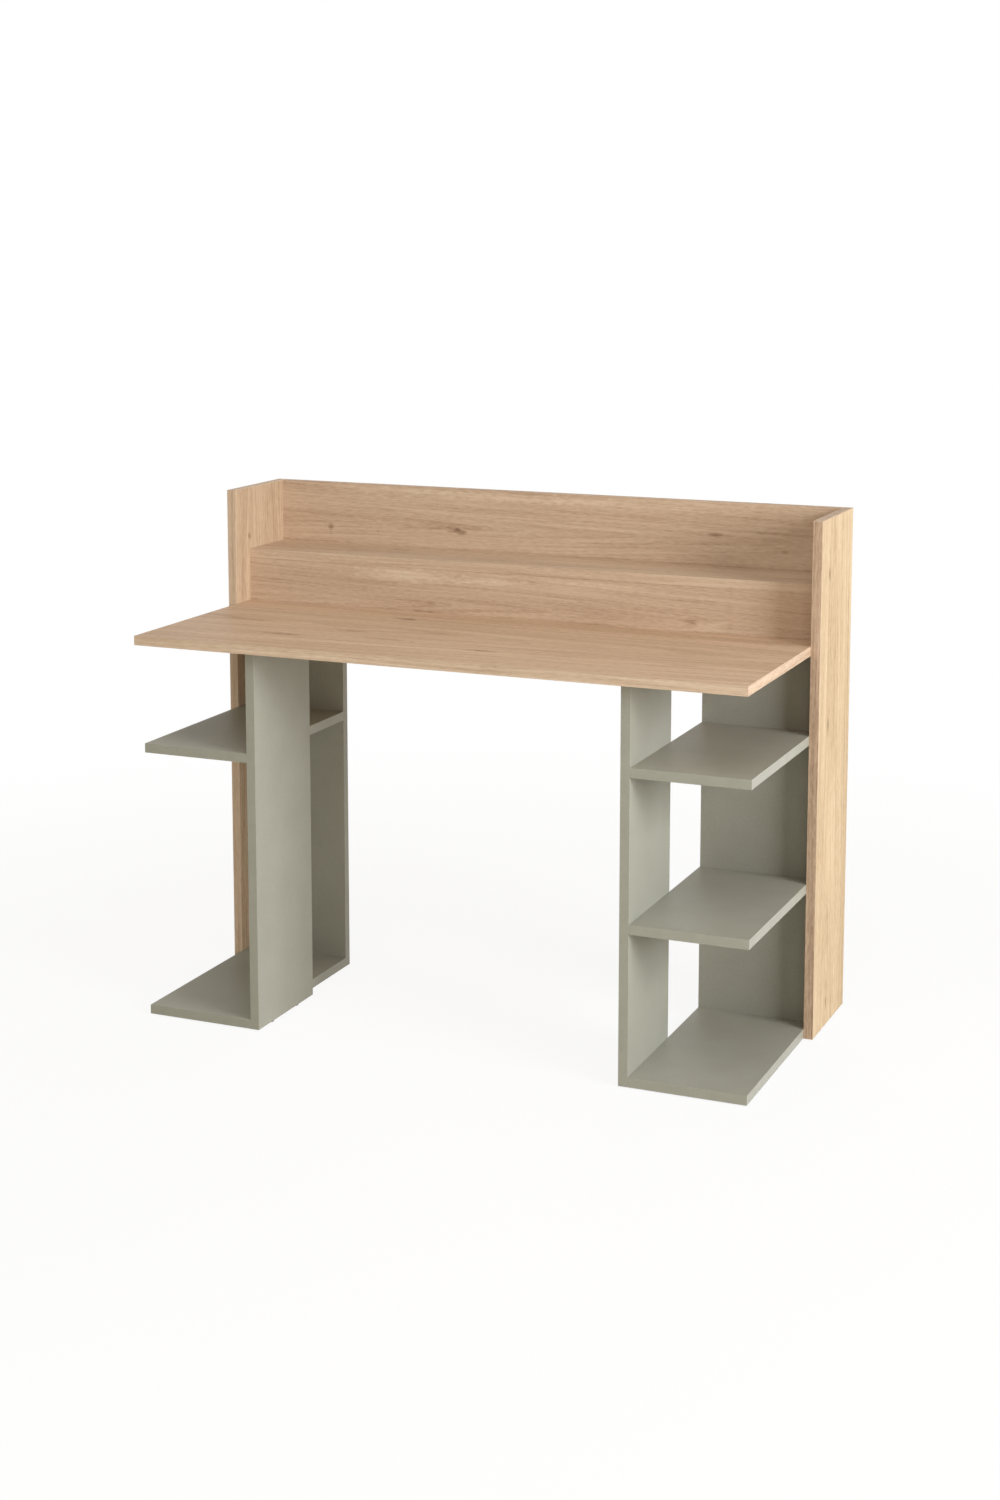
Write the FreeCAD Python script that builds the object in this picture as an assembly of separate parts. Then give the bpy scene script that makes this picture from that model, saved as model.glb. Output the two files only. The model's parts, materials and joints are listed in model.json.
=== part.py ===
import FreeCAD, Part
import math
import os

from FreeCAD import Vector

# Computer desk of melamine-faced board: a desktop on two open pedestals, with a low hutch along its rear.
# Millimetres. +X is the user's right, +Y the rear, +Z up. The origin is on the floor, under the middle.

# Boards and their edge banding
board = 18.0
band = 0.8
band_easing = 0.4

# Plan
desktop_length = 1200.0
desktop_overhang = 30.0
pedestal_width = 220.0
shelf_depth = 400.0
leg_depth = 220.0
side_depth = 220.0
side_lap = 40.0

# Heights
leg_height = 730.0
riser_rise = 88.0
hutch_back_rise = 126.0
left_upper_bay = 195.0
right_upper_bay = 150.0
right_middle_bay = 264.0

# Rows of fittings along the joints
row_inset = 40.0
short_row_inset = 18.0
long_row_inset = 100.0

# Cam locks, in pockets bored into a face of the butting board
cam_diameter = 15.0
cam_clearance = 0.1
cam_floor = 4.5
cam_recess = 0.3
cam_setback = 24.0
cam_wall = 2.0
cam_turn = 120.0
drive_length = 9.0
drive_width = 1.6
drive_depth = 3.0

# Cam bolts, screwed into the face of the other board
bolt_hole_diameter = 8.0
bolt_shank_diameter = 6.5
bolt_neck_diameter = 3.6
bolt_head_diameter = 6.0
bolt_thread_diameter = 5.0
bolt_thread_length = 11.0
bolt_clearance = 0.3
thread_clearance = 0.05

# Dowels
dowel_diameter = 8.0
dowel_in_face = 11.0
dowel_in_edge = 19.0
dowel_chamfer = 1.0
dowel_clearance = 0.05

# Free depth past the end of a bolt, dowel or pin in its hole
blind_room = 1.0

# Caps over the cam locks in the legs
cap_diameter = 17.0
cap_thickness = 1.0
cap_easing = 0.5
cap_blade_depth = 2.0
cap_clearance = 0.1

# Floor glides and the pins that nail them on
glide_height = 3.0
glide_diameter = 15.0
glide_easing = 0.8
glide_sole = 1.0
glide_inset = 60.0
pin_diameter = 2.0
pin_in_board = 12.0
pin_clearance = 0.05

# Places along X
half_length = desktop_length / 2
pedestal_inner = half_length - pedestal_width
leg_inner = pedestal_inner - board

# Places along Y
rear = (desktop_overhang + shelf_depth - side_lap + side_depth) / 2
side_front = rear - side_depth
back_front = side_front + side_lap
pedestal_front = back_front - shelf_depth
desktop_front = pedestal_front - desktop_overhang
desktop_rear = back_front + board
riser_front = desktop_rear

# Places along Z
base = glide_height
leg_top = base + leg_height
desktop_top = leg_top + board
shelf_under = desktop_top + riser_rise
shelf_top = shelf_under + board
hutch_top = shelf_top + hutch_back_rise

# Sizes inside a cam lock
cam_depth = board - cam_floor
cam_radius = cam_diameter / 2 - cam_clearance
chamber_radius = cam_radius - cam_wall
head_radius = bolt_head_diameter / 2
head_room = head_radius + bolt_clearance
neck_room = bolt_neck_diameter / 2 + bolt_clearance

right = Vector(1, 0, 0)
left = Vector(-1, 0, 0)
back = Vector(0, 1, 0)
front = Vector(0, -1, 0)
up = Vector(0, 0, 1)
down = Vector(0, 0, -1)

nodes = {}


def put(node, shape):
    nodes.setdefault(node, []).extend(shape.Solids)


# Block between two opposite corners
def block(corner, opposite):
    low = Vector(*map(min, corner, opposite))
    size = Vector(*map(max, corner, opposite)) - low
    return Part.makeBox(size.x, size.y, size.z, low)


def rod(diameter, start, direction, length):
    return Part.makeCylinder(diameter / 2, length, start, direction)


def round_edges(solid):
    return [edge for edge in solid.Edges if len(edge.Vertexes) == 1]


# A board that is drilled for its fittings and banded on the sides that show
class Panel:
    def __init__(self, name, corner, opposite, banded):
        self.name = name
        self.low = Vector(*map(min, corner, opposite))
        self.high = Vector(*map(max, corner, opposite))
        self.banded = banded
        self.holes = []

    def centre(self):
        return (self.low + self.high) / 2

    def extent(self, way):
        return abs((self.high - self.low).dot(way))

    # Direction through the thickness
    def through(self):
        return min((right, back, up), key=self.extent)

    def drilled(self, solid):
        touching = [hole for hole in self.holes if hole.BoundBox.intersect(solid.BoundBox)]
        return solid.cut(touching) if touching else solid

    # The strip named first runs the whole side, and each later one ends at those before it
    def build(self):
        low = self.low
        high = self.high
        for side in self.banded:
            beyond = side * (abs((high - low).dot(side)) - band)
            if side in (right, back, up):
                strip = block(low + beyond, high)
                high = high - side * band
            else:
                strip = block(low, high + beyond)
                low = low - side * band
            put(self.name + "_edge_bands", self.drilled(eased(strip, side)))
        put(self.name, self.drilled(block(low, high)))


# Banding with its two long outer corners rounded
def eased(strip, side):
    outer_face = max(strip.Faces, key=lambda face: side.dot(face.CenterOfMass))
    long_corners = sorted(outer_face.Edges, key=lambda edge: edge.Length)[2:]
    return strip.makeFillet(min(band_easing, band / 2), long_corners)


# Middle line of the joint where an edge of one board meets a face of another, and the way into that face
def joint_line(butting, facing):
    low = Vector(*map(max, butting.low, facing.low))
    high = Vector(*map(min, butting.high, facing.high))
    into = min((right, back, up), key=lambda way: abs((high - low).dot(way)))
    if (facing.centre() - butting.centre()).dot(into) < 0:
        into = -into
    along = into.cross(butting.through())
    reach = along * abs((high - low).dot(along)) / 2
    middle = (low + high) / 2
    return middle - reach, middle + reach, into


def spread(start, end, inset, count):
    if count == 1:
        return [(start + end) / 2]
    length = (end - start).Length
    along = (end - start) / length
    step = (length - 2 * inset) / (count - 1)
    return [start + along * (inset + step * place) for place in range(count)]


# A row of fittings along a joint: d is a dowel, c a cam lock with its bolt. Returns the cam pockets' mouths
def join(area, butting, facing, cam_side, pattern, inset):
    start, end, into = joint_line(butting, facing)
    mouths = []
    for spot, fitting in zip(spread(start, end, inset, len(pattern)), pattern):
        if fitting == "d":
            fit_dowel(area, butting, facing, spot, into)
        else:
            mouths.append(fit_cam(area, butting, facing, spot, into, cam_side))
    return mouths


def fit_dowel(area, butting, facing, spot, into):
    hole_diameter = dowel_diameter + 2 * dowel_clearance
    butting.holes.append(rod(hole_diameter, spot, -into, dowel_in_edge + blind_room))
    facing.holes.append(rod(hole_diameter, spot, into, dowel_in_face + blind_room))
    dowel = rod(dowel_diameter, spot - into * dowel_in_edge, into, dowel_in_edge + dowel_in_face)
    put(area + "_dowels", dowel.makeChamfer(dowel_chamfer, round_edges(dowel)))


def fit_cam(area, butting, facing, spot, into, cam_side):
    mouth = spot - into * cam_setback + cam_side * board / 2
    pilot_diameter = bolt_thread_diameter + 2 * thread_clearance
    butting.holes.append(rod(cam_diameter, mouth, -cam_side, cam_depth))
    butting.holes.append(rod(bolt_hole_diameter, spot, -into, cam_setback + head_room))
    facing.holes.append(rod(pilot_diameter, spot, into, bolt_thread_length + blind_room))
    put(area + "_cam_locks", cam_lock(mouth, into, cam_side))
    put(area + "_cam_bolts", cam_bolt(spot, into))
    return mouth


# Die-cast cup that drops over the head of the bolt, with a slot round its wall for the bolt's neck
def cam_lock(mouth, into, cam_side):
    floor = mouth - cam_side * cam_depth
    top = mouth - cam_side * cam_recess
    bolt_level = cam_depth - board / 2
    cup = rod(2 * cam_radius, floor, cam_side, cam_depth - cam_recess)
    chamber = rod(2 * chamber_radius, floor, cam_side, bolt_level + head_room)
    outward = into * cam_diameter
    rise = cam_side * (bolt_level + neck_room)
    profile = Part.makePolygon([floor, floor + outward, floor + outward + rise, floor + rise, floor])
    slot = Part.Face(profile).revolve(floor, cam_side, cam_turn)
    slot.rotate(floor, cam_side, -math.degrees(math.asin(neck_room / chamber_radius)))
    cuts = [chamber, slot]
    across = into.cross(cam_side)
    for way, other in ((into, across), (across, into)):
        cuts.append(drive_bar(top, way, other, cam_side, drive_depth, 0))
    return cup.cut(cuts)


# One bar of the cross drive, or the blade of a cap that goes into it
def drive_bar(top, way, other, cam_side, depth, clearance):
    reach = way * (drive_length / 2 - clearance) + other * (drive_width / 2 - clearance)
    return block(top - reach, top + reach - cam_side * depth)


def cam_bolt(spot, into):
    head_distance = cam_setback - chamber_radius + head_radius + cam_clearance
    shank_length = cam_setback - cam_diameter / 2 - bolt_clearance
    thread = rod(bolt_thread_diameter, spot, into, bolt_thread_length)
    shank = rod(bolt_shank_diameter, spot, -into, shank_length)
    neck = rod(bolt_neck_diameter, spot, -into, head_distance)
    head = Part.makeSphere(head_radius, spot - into * head_distance)
    return thread.fuse([shank, neck, head]).removeSplitter()


# Cap that covers a cam pocket, held by a blade in the cam's drive
def cam_cap(mouth, way, cam_side):
    disc = rod(cap_diameter, mouth, cam_side, cap_thickness)
    rim = max(round_edges(disc), key=lambda edge: cam_side.dot(edge.CenterOfMass))
    disc = disc.makeFillet(min(cap_easing, cap_thickness / 2), [rim])
    depth = cam_recess + cap_blade_depth
    blade = drive_bar(mouth, way, way.cross(cam_side), cam_side, depth, cap_clearance)
    return disc.fuse(blade).removeSplitter()


# Glide under a board: a plastic disc with a rounded foot, on a pin driven up into the board
def fit_glide(area, panel, spot):
    foot = spot - up * glide_height
    sole = foot + up * glide_sole
    hole_diameter = pin_diameter + 2 * pin_clearance
    panel.holes.append(rod(hole_diameter, spot, up, pin_in_board + blind_room))
    disc = rod(glide_diameter, foot, up, glide_height)
    rim = min(round_edges(disc), key=lambda edge: edge.CenterOfMass.z)
    disc = disc.makeFillet(min(glide_easing, glide_height / 2), [rim])
    socket = rod(hole_diameter, sole, up, glide_height - glide_sole)
    put(area + "_floor_glides", disc.cut(socket))
    put(area + "_glide_pins", rod(pin_diameter, sole, up, glide_height - glide_sole + pin_in_board))


# Two glides under an upright board
def stand(area, panel):
    along = up.cross(panel.through())
    middle = Vector(panel.centre().x, panel.centre().y, base)
    reach = along * panel.extent(along) / 2
    for spot in spread(middle - reach, middle + reach, glide_inset, 2):
        fit_glide(area, panel, spot)


def side_panel(name, outward):
    corner = outward * half_length + Vector(0, side_front, base)
    opposite = outward * (half_length + board) + Vector(0, rear, hutch_top)
    panel = Panel(name + "_side_panel", corner, opposite, (front, back, up, down))
    stand(name, panel)
    return panel


def cross_board(name, y_front, y_rear, z_under, z_top, banded):
    corner = Vector(-half_length, y_front, z_under)
    return Panel(name, corner, Vector(half_length, y_rear, z_top), banded)


# Shelves held by a leg at their inner end, a back at their rear and a corner of the side panel
def pedestal(name, outward, side, levels):
    inner = outward * pedestal_inner
    outer = outward * half_length
    leg_rear = pedestal_front + leg_depth
    leg_corner = outward * leg_inner + Vector(0, pedestal_front, base)
    leg = Panel(name + "_leg", leg_corner, inner + Vector(0, leg_rear, leg_top), (front, back, down))
    back_corner = inner + Vector(0, back_front, base)
    back_opposite = outer + Vector(0, desktop_rear, leg_top)
    back_panel = Panel(name + "_pedestal_back", back_corner, back_opposite, (-outward, down))
    stand(name, leg)
    stand(name, back_panel)
    area = name + "_pedestal"
    shelves = []
    for shelf_name, level in levels.items():
        corner = inner + Vector(0, pedestal_front, level - board)
        opposite = outer + Vector(0, back_front, level)
        shelf = Panel(shelf_name, corner, opposite, (front, right, left))
        join(area, shelf, leg, down, "dcd", row_inset)
        join(area, shelf, back_panel, down, "dcd", row_inset)
        join(area, shelf, side, down, "d", short_row_inset)
        shelves.append(shelf)
    corner_spot = outer - outward * glide_inset + Vector(0, pedestal_front + glide_inset, base)
    fit_glide(name, shelves[0], corner_spot)
    for mouth in join(area, leg, desktop, left, "cdc", row_inset):
        put("leg_cam_caps", cam_cap(mouth, up, left))
    join(area, back_panel, desktop, back, "dcd", row_inset)
    join(area, back_panel, side, back, "cdcdc", row_inset)
    return [leg, back_panel] + shelves


left_side = side_panel("left", left)
right_side = side_panel("right", right)
desktop = cross_board("desktop", desktop_front, desktop_rear, leg_top, desktop_top, (front, left, right))
riser = cross_board("hutch_riser", riser_front, riser_front + board, leg_top, shelf_under, (down,))
hutch_shelf = cross_board("hutch_shelf", riser_front, rear - board, shelf_under, shelf_top, (front,))
hutch_back = cross_board("hutch_back", rear - board, rear, shelf_under, hutch_top, (up, down))

left_shelves = {
    "left_base_shelf": base + board,
    "left_shelf": leg_top - left_upper_bay,
}
right_upper_shelf_top = leg_top - right_upper_bay
right_shelves = {
    "right_base_shelf": base + board,
    "right_lower_shelf": right_upper_shelf_top - board - right_middle_bay,
    "right_upper_shelf": right_upper_shelf_top,
}
panels = [left_side, right_side, desktop, riser, hutch_shelf, hutch_back]
panels += pedestal("left", left, left_side, left_shelves)
panels += pedestal("right", right, right_side, right_shelves)

# The desktop and hutch are joined clear of the pedestals' own rows
join("desktop", desktop, riser, down, "dcdcdcd", half_length - leg_inner + row_inset)
join("hutch", riser, hutch_shelf, back, "dcdcdcd", long_row_inset)
join("hutch", hutch_shelf, hutch_back, down, "dcdcdcd", long_row_inset)
for side in (left_side, right_side):
    join("desktop", desktop, side, down, "cd", short_row_inset)
    join("hutch", riser, side, back, "dcd", short_row_inset)
    join("hutch", hutch_shelf, side, down, "dcd", row_inset)
    join("hutch", hutch_back, side, back, "dcd", row_inset)

for panel in panels:
    panel.build()

os.makedirs("parts", exist_ok=True)
for node, solids in nodes.items():
    Part.makeCompound(solids).exportStep(os.path.join("parts", node + ".step"))
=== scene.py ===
import json
import math
import bpy
from mathutils import Color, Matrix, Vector


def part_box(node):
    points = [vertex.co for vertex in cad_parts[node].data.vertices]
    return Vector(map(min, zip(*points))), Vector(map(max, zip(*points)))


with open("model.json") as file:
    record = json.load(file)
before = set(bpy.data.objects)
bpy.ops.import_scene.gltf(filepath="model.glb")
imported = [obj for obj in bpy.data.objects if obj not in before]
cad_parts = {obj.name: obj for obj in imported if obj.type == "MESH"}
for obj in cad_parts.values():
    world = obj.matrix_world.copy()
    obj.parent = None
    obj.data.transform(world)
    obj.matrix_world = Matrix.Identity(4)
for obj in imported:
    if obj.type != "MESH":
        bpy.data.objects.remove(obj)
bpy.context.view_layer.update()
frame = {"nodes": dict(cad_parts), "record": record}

nodes = frame["nodes"]
slotOf = {part["node"]: part["material_slot"] for part in frame["record"]["subparts"]}
bpy.ops.object.select_all(action="DESELECT")
print("desk frame loaded:", len(nodes), "nodes")


# Screen colour, 0 to 255, as the shader's own colour
def paint(*screenColour):
    mixed = Color([part / 255 for part in screenColour]).from_srgb_to_scene_linear()
    return (*mixed, 1.0)


# A new node: settings by name, and inputs that are a value or another node's output
def addNode(tree, kind, inputs=None, **settings):
    made = tree.nodes.new(kind)
    for name, value in settings.items():
        setattr(made, name, value)
    for name, value in (inputs or {}).items():
        if isinstance(value, bpy.types.NodeSocket):
            tree.links.new(value, made.inputs[name])
        else:
            made.inputs[name].default_value = value
    return made


# One step of arithmetic
def work(tree, operation, first, second=0.0, third=0.0):
    made = addNode(tree, "ShaderNodeMath", {0: first, 1: second, 2: third}, operation=operation)
    return made.outputs[0]


# Adds so much of a pattern, which is 0.5 on average, to a value
def addShare(tree, pattern, amount, value):
    return work(tree, "MULTIPLY_ADD", work(tree, "SUBTRACT", pattern, 0.5), amount, value)


# Takes a value from one range to another, and stops at the ends
def stretch(tree, value, low, high, toLow, toHigh, way="LINEAR"):
    inputs = {"Value": value, "From Min": low, "From Max": high, "To Min": toLow, "To Max": toHigh}
    return addNode(tree, "ShaderNodeMapRange", inputs, interpolation_type=way).outputs["Result"]


# Colour by value, from stops that are a place from 0 to 1 and a colour
def ramp(tree, value, stops):
    made = addNode(tree, "ShaderNodeValToRGB", {"Fac": value})
    points = made.color_ramp.elements
    while len(points) < len(stops):
        points.new(1.0)  # each point gets its own place below
    for point, (position, colour) in zip(points, stops):
        point.position = position
        point.color = colour
    return made.outputs["Color"]


# A new material, its node tree and its shader
def newFinish(name):
    finish = bpy.data.materials.new(name)
    finish.use_nodes = True
    return finish, finish.node_tree, finish.node_tree.nodes["Principled BSDF"]


# Turns a pattern into a fine relief
def roughen(tree, shader, height, strength, depth):
    inputs = {"Height": height, "Strength": strength, "Distance": depth}
    tree.links.new(addNode(tree, "ShaderNodeBump", inputs).outputs["Normal"], shader.inputs["Normal"])


def dress(nodeName, finish):
    slots = nodes[nodeName].data.materials
    slots.clear()
    slots.append(finish)


# Object coordinates turned so that the grain runs along the first axis
def boardSpace(tree, turn):
    place = addNode(tree, "ShaderNodeTexCoord").outputs["Object"]
    turned = tuple(math.radians(angle) for angle in turn)
    return addNode(tree, "ShaderNodeMapping", {"Vector": place, "Rotation": turned}).outputs["Vector"]


# Distance from a place on the board, 1 at the given half size
def reachOf(tree, space, at, size):
    scale = [1 / half for half in size]
    shift = [-middle / half for middle, half in zip(at, size)]
    if len(size) == 2:  # goes right through the board
        scale.append(0.0)
        shift.append(0.0)
    inputs = {0: space, 1: scale, 2: shift}
    near = addNode(tree, "ShaderNodeVectorMath", inputs, operation="MULTIPLY_ADD").outputs[0]
    return addNode(tree, "ShaderNodeVectorMath", {0: near}, operation="LENGTH").outputs["Value"]


# Printed oak decor: its tones from knot to pale streak, how far each sheet's colour is from them,
# and how much each layer of grain moves the tone
oak = {
    "tones": [
        (0.0, (88, 63, 44)),
        (0.24, (143, 117, 95)),
        (0.44, (183, 155, 131)),
        (0.62, (203, 177, 153)),
        (0.92, (225, 204, 180)),
    ],
    # sunlitYellow is painted light: the warm tint of sunlight on one board
    "sheets": {"plain": (0, 0, 0), "mild": (0, 1, -2), "warm": (3, -1, -4), "sunlitYellow": (1, 3, -5)},
    "middle": 0.56,  # tone that the layers move up and down
    "layers": [
        {"along": 0.8, "across": 10.0, "detail": 2.0, "amount": 0.26},
        {"along": 0.6, "across": 26.0, "detail": 1.0, "amount": 0.11},
        {"along": 1.6, "across": 60.0, "detail": 2.0, "amount": 0.2},
        {"along": 3.2, "across": 220.0, "detail": 2.0, "amount": 0.52},
    ],
    "layerStep": 1.7,  # how far apart the layers lie in the noise
    "arrowWidth": 0.0022,
    "fibre": {"along": 60.0, "across": 460.0, "detail": 2.0, "amount": 0.42},
    "fibreSeed": 7.3,
    "fibreRange": (0.3, 0.7),  # the fibre's noise where it is mattest and where it is smoothest
    "wander": {"along": 1.3, "across": 4.0, "detail": 1.0},
    "wanderBy": 0.03,  # how far the grain wanders across the board
    "ragged": {"along": 60.0, "across": 160.0, "detail": 1.0},
    "raggedBy": 1.6,  # how ragged the rim of a mark is
    "markRim": (0.1, 1.5),  # a mark is full inside the first and gone at the second
    "dash": {"along": 10.0, "across": 150.0, "detail": 1.0},
    "dashSeed": 9.1,
    "dashFrom": (0.68, 0.80),  # the noise where a dark dash begins and where it is full
    "dashDark": 0.1,
    "through": 37.0,  # spots per metre through the board
    "rough": 0.6,  # weight of the finer detail in the noise
    "sides": 0.3,  # how much the two sides of a heart line differ
    "roughness": (0.42, 0.58),
    "gloss": 0.12,
    "bump": 0.2,
    "poreDepth": 0.0003,
}


# Noise drawn out along the first axis: so many spots per metre each way
def streaks(tree, space, spots, seed):
    inputs = {0: space, 1: (spots["along"], spots["across"], oak["through"]), 2: (0.0, 0.0, seed)}
    drawn = addNode(tree, "ShaderNodeVectorMath", inputs, operation="MULTIPLY_ADD").outputs[0]
    inputs = {"Vector": drawn, "Scale": 1.0, "Detail": spots["detail"], "Roughness": oak["rough"]}
    return addNode(tree, "ShaderNodeTexNoise", inputs).outputs["Fac"]


# The decor's tones in one sheet's colours
def sheetTones(shift):
    tones = []
    for position, colour in oak["tones"]:
        tones.append((position, paint(*(part + change for part, change in zip(colour, shift)))))
    return tones


# Prints the decor on a finish, from the board's own space and starting tone
def printOak(tree, shader, space, tone, board):
    seed = board["seed"]
    axes = addNode(tree, "ShaderNodeSeparateXYZ", {"Vector": space})
    along = axes.outputs["X"]
    cross = addShare(tree, streaks(tree, space, oak["wander"], seed), oak["wanderBy"], axes.outputs["Y"])

    # Growth rings are cones about a heart line, and the board cuts them into nested arrows
    heart, depth, taper = board["heart"]
    side = work(tree, "SUBTRACT", cross, heart)
    ringSize = work(tree, "SQRT", work(tree, "MULTIPLY_ADD", side, side, depth * depth))
    rings = work(tree, "MULTIPLY_ADD", along, taper, ringSize)
    slope = work(tree, "DIVIDE", side, ringSize)
    slope = work(tree, "SQRT", work(tree, "MULTIPLY_ADD", slope, slope, taper * taper))
    for at, size, rise in board.get("swells", ()):
        lifted = stretch(tree, reachOf(tree, space, at, size), 0.0, 1.0, rise, 0.0, "SMOOTHERSTEP")
        rings = work(tree, "ADD", rings, lifted)
    other = work(tree, "MULTIPLY_ADD", side, oak["sides"], axes.outputs["Z"])
    grain = addNode(tree, "ShaderNodeCombineXYZ", {"X": along, "Y": rings, "Z": other}).outputs[0]

    # Streaks follow the rings, and the fine fibre runs straight
    contrast = board.get("contrast", 1.0)
    for order, layer in enumerate(oak["layers"]):
        streak = streaks(tree, grain, layer, seed + oak["layerStep"] * order)
        tone = addShare(tree, streak, contrast * layer["amount"], tone)
    fibre = streaks(tree, space, oak["fibre"], seed + oak["fibreSeed"])
    tone = addShare(tree, fibre, oak["fibre"]["amount"], tone)
    dash = streaks(tree, grain, oak["dash"], seed + oak["dashSeed"])
    dash = stretch(tree, dash, *oak["dashFrom"], 0.0, 1.0, "SMOOTHSTEP")
    tone = work(tree, "MULTIPLY_ADD", dash, -oak["dashDark"], tone)

    # An arrow is the thin line of one ring, and a mark is a fleck, a knot, a wash, painted shade along a
    # joint or painted light on a shaded part
    for tip, length, dark in board.get("arrows", ()):
        away = work(tree, "ABSOLUTE", work(tree, "SUBTRACT", rings, depth + taper * tip))
        away = work(tree, "DIVIDE", away, slope)
        line = stretch(tree, away, 0.0, oak["arrowWidth"], dark, 0.0, "SMOOTHSTEP")
        fade = stretch(tree, along, tip - length, tip, 0.0, -1.0)
        tone = work(tree, "MULTIPLY_ADD", line, fade, tone)
    marks = board.get("marks", ())
    ragged = streaks(tree, space, oak["ragged"], seed) if marks else None
    for at, size, dark in marks:
        reach = addShare(tree, ragged, oak["raggedBy"], reachOf(tree, space, at, size))
        tone = work(tree, "SUBTRACT", tone, stretch(tree, reach, *oak["markRim"], dark, 0.0, "SMOOTHSTEP"))

    colour = ramp(tree, tone, sheetTones(oak["sheets"][board["sheet"]]))
    tree.links.new(colour, shader.inputs["Base Color"])
    shader.inputs["Specular IOR Level"].default_value = oak["gloss"]
    smooth, matt = oak["roughness"]
    tree.links.new(stretch(tree, fibre, *oak["fibreRange"], matt, smooth), shader.inputs["Roughness"])
    roughen(tree, shader, fibre, oak["bump"], oak["poreDepth"])


# Turns, in degrees, that bring the grain to the first axis and the board's width to the second
alongX = (0, 0, 0)
alongXUpright = (-90, 0, 0)
alongZ = (0, 90, 0)
alongZEdge = (90, 0, 90)
alongYEdge = (0, 0, -90)
alongYUprightEdge = (0, -90, -90)

# Where the upright hutch boards meet the boards under and over them
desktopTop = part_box("desktop")[1][2]
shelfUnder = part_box("hutch_shelf")[0][2]
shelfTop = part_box("hutch_shelf")[1][2]
jointDepth = 0.004
wholeLength = 9.0  # half size of a mark that runs right along a board


# Painted shade: a dark line along an upright board's front face where the board over or under it meets it,
# as a mark: its third values keep it to that face
def jointShadeLine(boardName, height, half, dark):
    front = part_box(boardName)[0][1]
    return (0.0, height, -front), (wholeLength, half, jointDepth), dark
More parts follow.
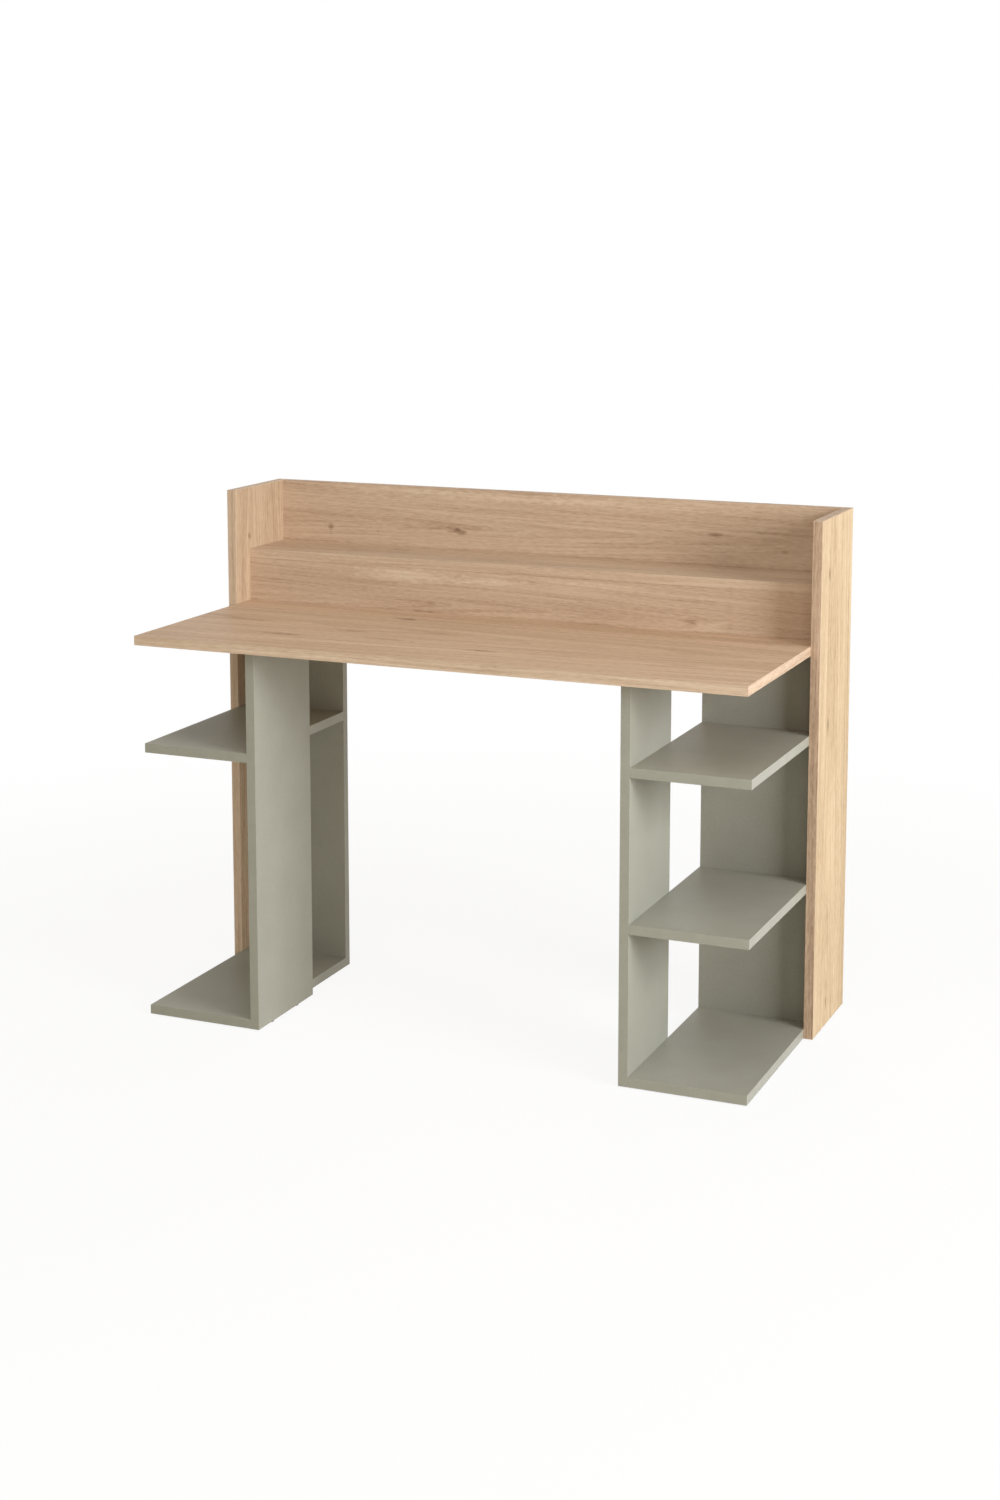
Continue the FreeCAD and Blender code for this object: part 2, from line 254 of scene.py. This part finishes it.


# Oak boards, in metres along and across the grain. Heart: place across, depth, taper.
# Arrows: place of the tip, length, darkness. Marks: place, half size, darkness; some marks are painted shade
# and painted light.
# Swells, where the rings bulge round a knot: place, half size, rise.
# Lifts make a board, its edge bands or the bands on its ends paler, some of them as painted light and
# painted shade, and the end axis, 0 for x and 2 for z, runs from one end to the other.
oakBoards = {
    "desktop": {
        "sheet": "warm",
        "turn": alongX,
        "edgeTurn": alongXUpright,
        "endTurn": alongYUprightEdge,
        "endAxis": 0,
        "heart": (-0.06, 0.05, 0.04),
        "edgeLift": 0.09,
        # Painted shade: the bands on the desktop's ends are darker, for the shade over its right end
        "endLift": -0.13,
        "seed": 2.0,
        "marks": [
            ((-0.204, 0.056), (0.026, 0.008), 0.30),
            ((-0.354, -0.178), (0.044, 0.008), 0.26),
            ((-0.242, -0.100), (0.028, 0.007), 0.22),
            ((-0.148, -0.153), (0.054, 0.007), 0.26),
            ((0.060, -0.189), (0.028, 0.008), 0.28),
            ((0.106, -0.090), (0.014, 0.006), 0.14),
            ((0.445, -0.176), (0.046, 0.008), 0.16),
            ((-0.480, -0.064), (0.040, 0.006), 0.14),
            ((-0.420, -0.225), (0.120, 0.030), -0.07),
            ((-0.050, -0.212), (0.600, 0.030), -0.05),
            ((0.250, 0.105), (0.600, 0.045), 0.08),
        ],
    },
    "hutch_shelf": {
        "sheet": "plain",
        "turn": alongX,
        "edgeTurn": alongXUpright,
        "heart": (0.21, 0.03, 0.03),
        "edgeLift": 0.115,
        "seed": 14.0,
        "marks": [
            ((-0.308, 0.246), (0.030, 0.006), 0.20),
            ((0.220, 0.258), (0.200, 0.022), 0.09),
            # Painted shade along the back of the shelf, where the hutch back stands on it
            ((-0.050, 0.277), (0.500, 0.011), 0.05),
        ],
    },
    "hutch_riser": {
        "sheet": "plain",
        "turn": alongXUpright,
        "edgeTurn": alongX,
        "heart": (0.765, 0.006, 0.035),
        "contrast": 0.84,
        "edgeLift": 0.0,
        "seed": 26.0,
        "arrows": [(-0.185, 0.20, 0.13), (-0.150, 0.20, 0.10), (0.440, 0.16, 0.08), (0.480, 0.20, 0.06)],
        "marks": [
            ((0.353, 0.771), (0.014, 0.005), 0.20),
            ((-0.212, 0.754), (0.018, 0.003), 0.10),
            ((0.370, 0.811), (0.060, 0.003), 0.09),
            ((-0.245, 0.822), (0.110, 0.014), -0.22),
            ((-0.070, 0.822), (0.070, 0.010), -0.18),
            ((0.130, 0.824), (0.120, 0.009), -0.10),
            ((-0.100, 0.833), (0.500, 0.007), -0.07),
            ((0.340, 0.785), (0.200, 0.013), 0.07),
            # Painted shade along the riser's joints with the shelf over it and the desktop under it
            jointShadeLine("hutch_riser", shelfUnder - 0.0005, 0.0010, 0.08),
            jointShadeLine("hutch_riser", desktopTop + 0.0010, 0.0018, 0.08),
        ],
        "swells": [((0.380, 0.768), (0.060, 0.018), 0.006)],
    },
    "hutch_back": {
        "sheet": "plain",
        "turn": alongXUpright,
        "edgeTurn": alongX,
        "heart": (0.909, 0.006, 0.03),
        "contrast": 0.76,
        "edgeLift": 0.03,
        "seed": 38.0,
        "arrows": [(-0.385, 0.28, 0.15), (-0.148, 0.20, 0.09), (0.190, 0.30, 0.07)],
        "marks": [
            ((-0.193, 0.895), (0.013, 0.007), 0.30),
            ((-0.211, 0.899), (0.013, 0.006), 0.20),
            ((-0.487, 0.890), (0.006, 0.007), 0.28),
            ((-0.487, 0.878), (0.003, 0.006), 0.10),
            ((-0.378, 0.887), (0.004, 0.004), 0.12),
            ((0.349, 0.918), (0.015, 0.005), 0.22),
            ((0.430, 0.927), (0.070, 0.004), 0.10),
            ((0.434, 0.954), (0.035, 0.003), 0.10),
            ((0.491, 0.892), (0.008, 0.004), 0.24),
            ((-0.150, 0.970), (0.260, 0.010), -0.14),
            ((-0.350, 0.974), (0.140, 0.010), -0.09),
            ((0.200, 0.969), (0.300, 0.010), -0.12),
            ((-0.360, 0.904), (0.120, 0.010), -0.08),
            # Painted light: the back is paler towards its foot, and more so at its right end, where the
            # shelf and the right panel shade it
            ((0.0, 0.876), (wholeLength, 0.018), -0.07),
            ((0.470, 0.876), (0.130, 0.026), -0.13),
            # Painted shade where the back stands on the shelf
            jointShadeLine("hutch_back", shelfTop + 0.0010, 0.0028, 0.11),
        ],
        "swells": [((-0.200, 0.896), (0.040, 0.014), 0.006), ((0.480, 0.892), (0.060, 0.020), 0.006)],
    },
    "left_side_panel": {
        "sheet": "mild",
        "turn": alongZ,
        "edgeTurn": alongZEdge,
        "endTurn": alongYEdge,
        "endAxis": 2,
        "heart": (0.15, 0.02, 0.03),
        "contrast": 0.75,
        "lift": -0.07,
        # Paler edge bands: partly the bands' own tone, partly painted light below the desktop, where the
        # desk shades them
        "edgeLift": 0.11,
        "endLift": 0.0,
        "seed": 50.0,
        "marks": [((0.882, 0.142), (0.007, 0.005), 0.26)],
    },
    "right_side_panel": {
        # Painted light: a yellower sheet for the warm sunlight on the panel's outer face
        "sheet": "sunlitYellow",
        "turn": alongZ,
        "edgeTurn": alongZEdge,
        "endTurn": alongYEdge,
        "endAxis": 2,
        "heart": (0.17, 0.02, 0.03),
        "contrast": 1.15,
        "lift": -0.03,
        "edgeLift": -0.19,
        "endLift": 0.15,
        "seed": 62.0,
        "marks": [
            ((0.879, 0.142), (0.012, 0.006), 0.26),
            ((0.591, 0.151), (0.022, 0.005), 0.26),
            ((0.048, 0.175), (0.016, 0.005), 0.20),
        ],
    },
}

# Oak edge bands: the same decor along each strip. Their heart line is far off, so the grain is straight.
oakBand = {"sheet": "plain", "seedStep": 5.0, "depth": 0.0009, "heart": (-2.0, 0.01, 0.0)}


# Band strips run one way on a board's long edges and another way on its ends
def bandGround(tree, board, bandBox):
    space = boardSpace(tree, board["edgeTurn"])
    tone = oak["middle"] + board["edgeLift"]
    if "endTurn" not in board:
        return space, tone
    axis = board["endAxis"]
    low, high = bandBox[0][axis], bandBox[1][axis]
    place = addNode(tree, "ShaderNodeTexCoord").outputs["Object"]
    lengthwise = addNode(tree, "ShaderNodeSeparateXYZ", {"Vector": place}).outputs[axis]
    away = work(tree, "ABSOLUTE", work(tree, "SUBTRACT", lengthwise, (low + high) / 2))
    atEnd = work(tree, "GREATER_THAN", away, (high - low) / 2 - oakBand["depth"])
    inputs = {0: atEnd, 4: space, 5: boardSpace(tree, board["endTurn"])}  # 4 and 5 are the two vectors
    space = addNode(tree, "ShaderNodeMix", inputs, data_type="VECTOR").outputs[1]
    return space, work(tree, "MULTIPLY_ADD", atEnd, board["endLift"], tone)


for boardName, board in oakBoards.items():
    finish, tree, shader = newFinish("oak_" + boardName)
    tone = oak["middle"] + board.get("lift", 0.0)
    printOak(tree, shader, boardSpace(tree, board["turn"]), tone, board)
    dress(boardName, finish)
    bandName = boardName + "_edge_bands"
    finish, tree, shader = newFinish("oak_" + bandName)
    space, tone = bandGround(tree, board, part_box(bandName))
    band = {**oakBand, "seed": board["seed"] + oakBand["seedStep"]}
    printOak(tree, shader, space, tone, band)
    dress(bandName, finish)
print("oak boards dressed:", len(oakBoards))

# Plain finishes: two close tones, a slow mottle and a fine tooth
plainFinishes = {
    "grey_board": {
        "tones": (paint(148, 146, 134), paint(159, 157, 146)),
        "mottle": 14.0,
        "tooth": 700.0,
        "roughness": (0.42, 0.58),
        "gloss": 0.18,
        "bump": 0.16,
        "depth": 0.0002,
        "metal": 0.0,
    },
    "grey_banding": {
        "tones": (paint(150, 148, 136), paint(161, 159, 148)),
        "mottle": 30.0,
        "tooth": 1100.0,
        "roughness": (0.36, 0.48),
        "gloss": 0.22,
        "bump": 0.1,
        "depth": 0.0001,
        "metal": 0.0,
    },
    "zinc": {
        "tones": (paint(176, 176, 178), paint(206, 206, 208)),
        "mottle": 300.0,
        "tooth": 2200.0,
        "roughness": (0.38, 0.6),
        "gloss": 0.5,
        "bump": 0.25,
        "depth": 0.0001,
        "metal": 1.0,
    },
    "steel": {
        "tones": (paint(186, 186, 184), paint(212, 212, 210)),
        "mottle": 400.0,
        "tooth": 2600.0,
        "roughness": (0.24, 0.4),
        "gloss": 0.5,
        "bump": 0.12,
        "depth": 0.0001,
        "metal": 1.0,
    },
    "beech": {
        "tones": (paint(188, 148, 108), paint(220, 184, 144)),
        "mottle": 240.0,
        "tooth": 1500.0,
        "roughness": (0.6, 0.75),
        "gloss": 0.25,
        "bump": 0.3,
        "depth": 0.0002,
        "metal": 0.0,
    },
    "cap_plastic": {
        "tones": (paint(148, 146, 134), paint(159, 157, 146)),
        "mottle": 120.0,
        "tooth": 1800.0,
        "roughness": (0.4, 0.55),
        "gloss": 0.4,
        "bump": 0.18,
        "depth": 0.0001,
        "metal": 0.0,
    },
    "glide_plastic": {
        "tones": (paint(70, 67, 63), paint(88, 85, 80)),
        "mottle": 160.0,
        "tooth": 1600.0,
        "roughness": (0.38, 0.52),
        "gloss": 0.4,
        "bump": 0.18,
        "depth": 0.0001,
        "metal": 0.0,
    },
}
plainMix = {
    "mottleShare": 0.3,
    "toothShare": 0.7,
    "mottleDetail": 3.0,
    "toothDetail": 2.0,
    "toneRange": (0.35, 0.65),
    "toothRange": (0.3, 0.7),
}


def plainFinish(name, values):
    finish, tree, shader = newFinish(name)
    space = boardSpace(tree, alongX)
    inputs = {"Vector": space, "Scale": values["mottle"], "Detail": plainMix["mottleDetail"]}
    mottle = addNode(tree, "ShaderNodeTexNoise", inputs).outputs["Fac"]
    inputs = {"Vector": space, "Scale": values["tooth"], "Detail": plainMix["toothDetail"]}
    tooth = addNode(tree, "ShaderNodeTexNoise", inputs).outputs["Fac"]
    tone = work(tree, "MULTIPLY", mottle, plainMix["mottleShare"])
    tone = work(tree, "MULTIPLY_ADD", tooth, plainMix["toothShare"], tone)
    stops = list(zip(plainMix["toneRange"], values["tones"]))
    tree.links.new(ramp(tree, tone, stops), shader.inputs["Base Color"])
    roughness = stretch(tree, tooth, *plainMix["toothRange"], *values["roughness"])
    tree.links.new(roughness, shader.inputs["Roughness"])
    shader.inputs["Metallic"].default_value = values["metal"]
    shader.inputs["Specular IOR Level"].default_value = values["gloss"]
    roughen(tree, shader, tooth, values["bump"], values["depth"])
    return finish


for slotName, values in plainFinishes.items():
    finish = plainFinish(slotName, values)
    for nodeName in nodes:
        if slotOf[nodeName] == slotName:
            dress(nodeName, finish)
print("plain finishes dressed:", len(plainFinishes))

# Camera where the photograph was taken from
camera = {
    "place": (1.710, -3.981, 1.540),
    "turn": 23.03,
    "tilt": 8.10,
    "lens": 55.62,
    "sensor": 36.0,
    "shiftY": -0.139,
}
bpy.ops.object.camera_add(
    location=camera["place"],
    rotation=(math.radians(90 - camera["tilt"]), 0, math.radians(camera["turn"])),
)
eye = bpy.context.object
eye.data.lens = camera["lens"]
eye.data.sensor_width = camera["sensor"]
eye.data.shift_y = camera["shiftY"]
bpy.context.scene.camera = eye
print("camera set")


# 1 on what the camera sees, straight, in a reflection or through glass, and 0 on what lights the desk
def sightRay(tree):
    path = addNode(tree, "ShaderNodeLightPath")
    sight = work(tree, "MAXIMUM", path.outputs["Is Camera Ray"], path.outputs["Is Glossy Ray"])
    return work(tree, "MAXIMUM", sight, path.outputs["Is Transmission Ray"])


pureWhite = (1.0, 1.0, 1.0, 1.0)

# Pale floor: white to the camera away from the desk, and nearly so around it, where the shadow shows
floor = {
    "size": 80.0,
    "colour": (0.86, 0.83, 0.76, 1.0),
    "roughness": 0.9,
    "gloss": 0.0,
    "glow": 0.9,  # share of white under the desk
    "near": 0.9,  # metres from the middle where the white begins to grow
    "far": 2.6,  # metres where it is full
}
bpy.ops.mesh.primitive_plane_add(size=floor["size"], location=(0, 0, 0))
ground = bpy.context.object
ground.name = "floor"
floorFinish, floorTree, floorShader = newFinish("pale_floor")
floorShader.inputs["Base Color"].default_value = floor["colour"]
floorShader.inputs["Roughness"].default_value = floor["roughness"]
floorShader.inputs["Specular IOR Level"].default_value = floor["gloss"]
white = addNode(floorTree, "ShaderNodeEmission", {"Color": pureWhite, "Strength": 1.0})
away = reachOf(floorTree, boardSpace(floorTree, alongX), (0.0, 0.0), (1.0, 1.0))
glow = stretch(floorTree, away, floor["near"], floor["far"], floor["glow"], 1.0, "SMOOTHSTEP")
seen = work(floorTree, "MULTIPLY", sightRay(floorTree), glow)
mixed = addNode(floorTree, "ShaderNodeMixShader", {0: seen, 1: floorShader.outputs[0], 2: white.outputs[0]})
floorTree.links.new(mixed.outputs[0], floorTree.nodes["Material Output"].inputs["Surface"])
ground.data.materials.append(floorFinish)

# Soft light from the right, from above the front, from behind and from the left, and weaker light all round
studio = {
    "aim": (0.0, 0.0, 0.5),
    "lamps": [
        {"place": (4.6, -1.6, 1.9), "size": 2.2, "power": 258.0, "colour": (0.93, 0.97, 1.0), "sheen": True},
        {"place": (0.5, -2.2, 3.6), "size": 3.0, "power": 49.0, "colour": (1.0, 0.975, 0.94), "sheen": True},
        {"place": (-0.6, 4.4, 0.8), "size": 2.0, "power": 80.0, "colour": (1.0, 1.0, 1.0), "sheen": False},
        {"place": (-4.4, 0.9, 0.7), "size": 2.0, "power": 62.0, "colour": (1.0, 0.96, 0.86), "sheen": False},
    ],
    "around": 0.32,
    "aroundColour": (1.0, 0.925, 0.74, 1.0),
}
for lamp in studio["lamps"]:
    bpy.ops.object.light_add(type="AREA", location=lamp["place"])
    softBox = bpy.context.object
    softBox.data.shape = "SQUARE"
    softBox.data.size = lamp["size"]
    softBox.data.energy = lamp["power"]
    softBox.data.color = lamp["colour"]
    softBox.visible_camera = False
    softBox.visible_glossy = lamp["sheen"]
    toAim = Vector(studio["aim"]) - Vector(lamp["place"])
    softBox.rotation_euler = toAim.to_track_quat("-Z", "Y").to_euler()
world = bpy.data.worlds.new("studio")
bpy.context.scene.world = world
world.use_nodes = True
air = world.node_tree
airLight = air.nodes["Background"]
shown = sightRay(air)
air.links.new(stretch(air, shown, 0.0, 1.0, studio["around"], 1.0), airLight.inputs["Strength"])
inputs = {0: shown, 6: studio["aroundColour"], 7: pureWhite}  # 6 and 7 are the two colours
air.links.new(addNode(air, "ShaderNodeMix", inputs, data_type="RGBA").outputs[2], airLight.inputs["Color"])
bpy.context.scene.view_settings.view_transform = "Standard"
print("floor and light set")
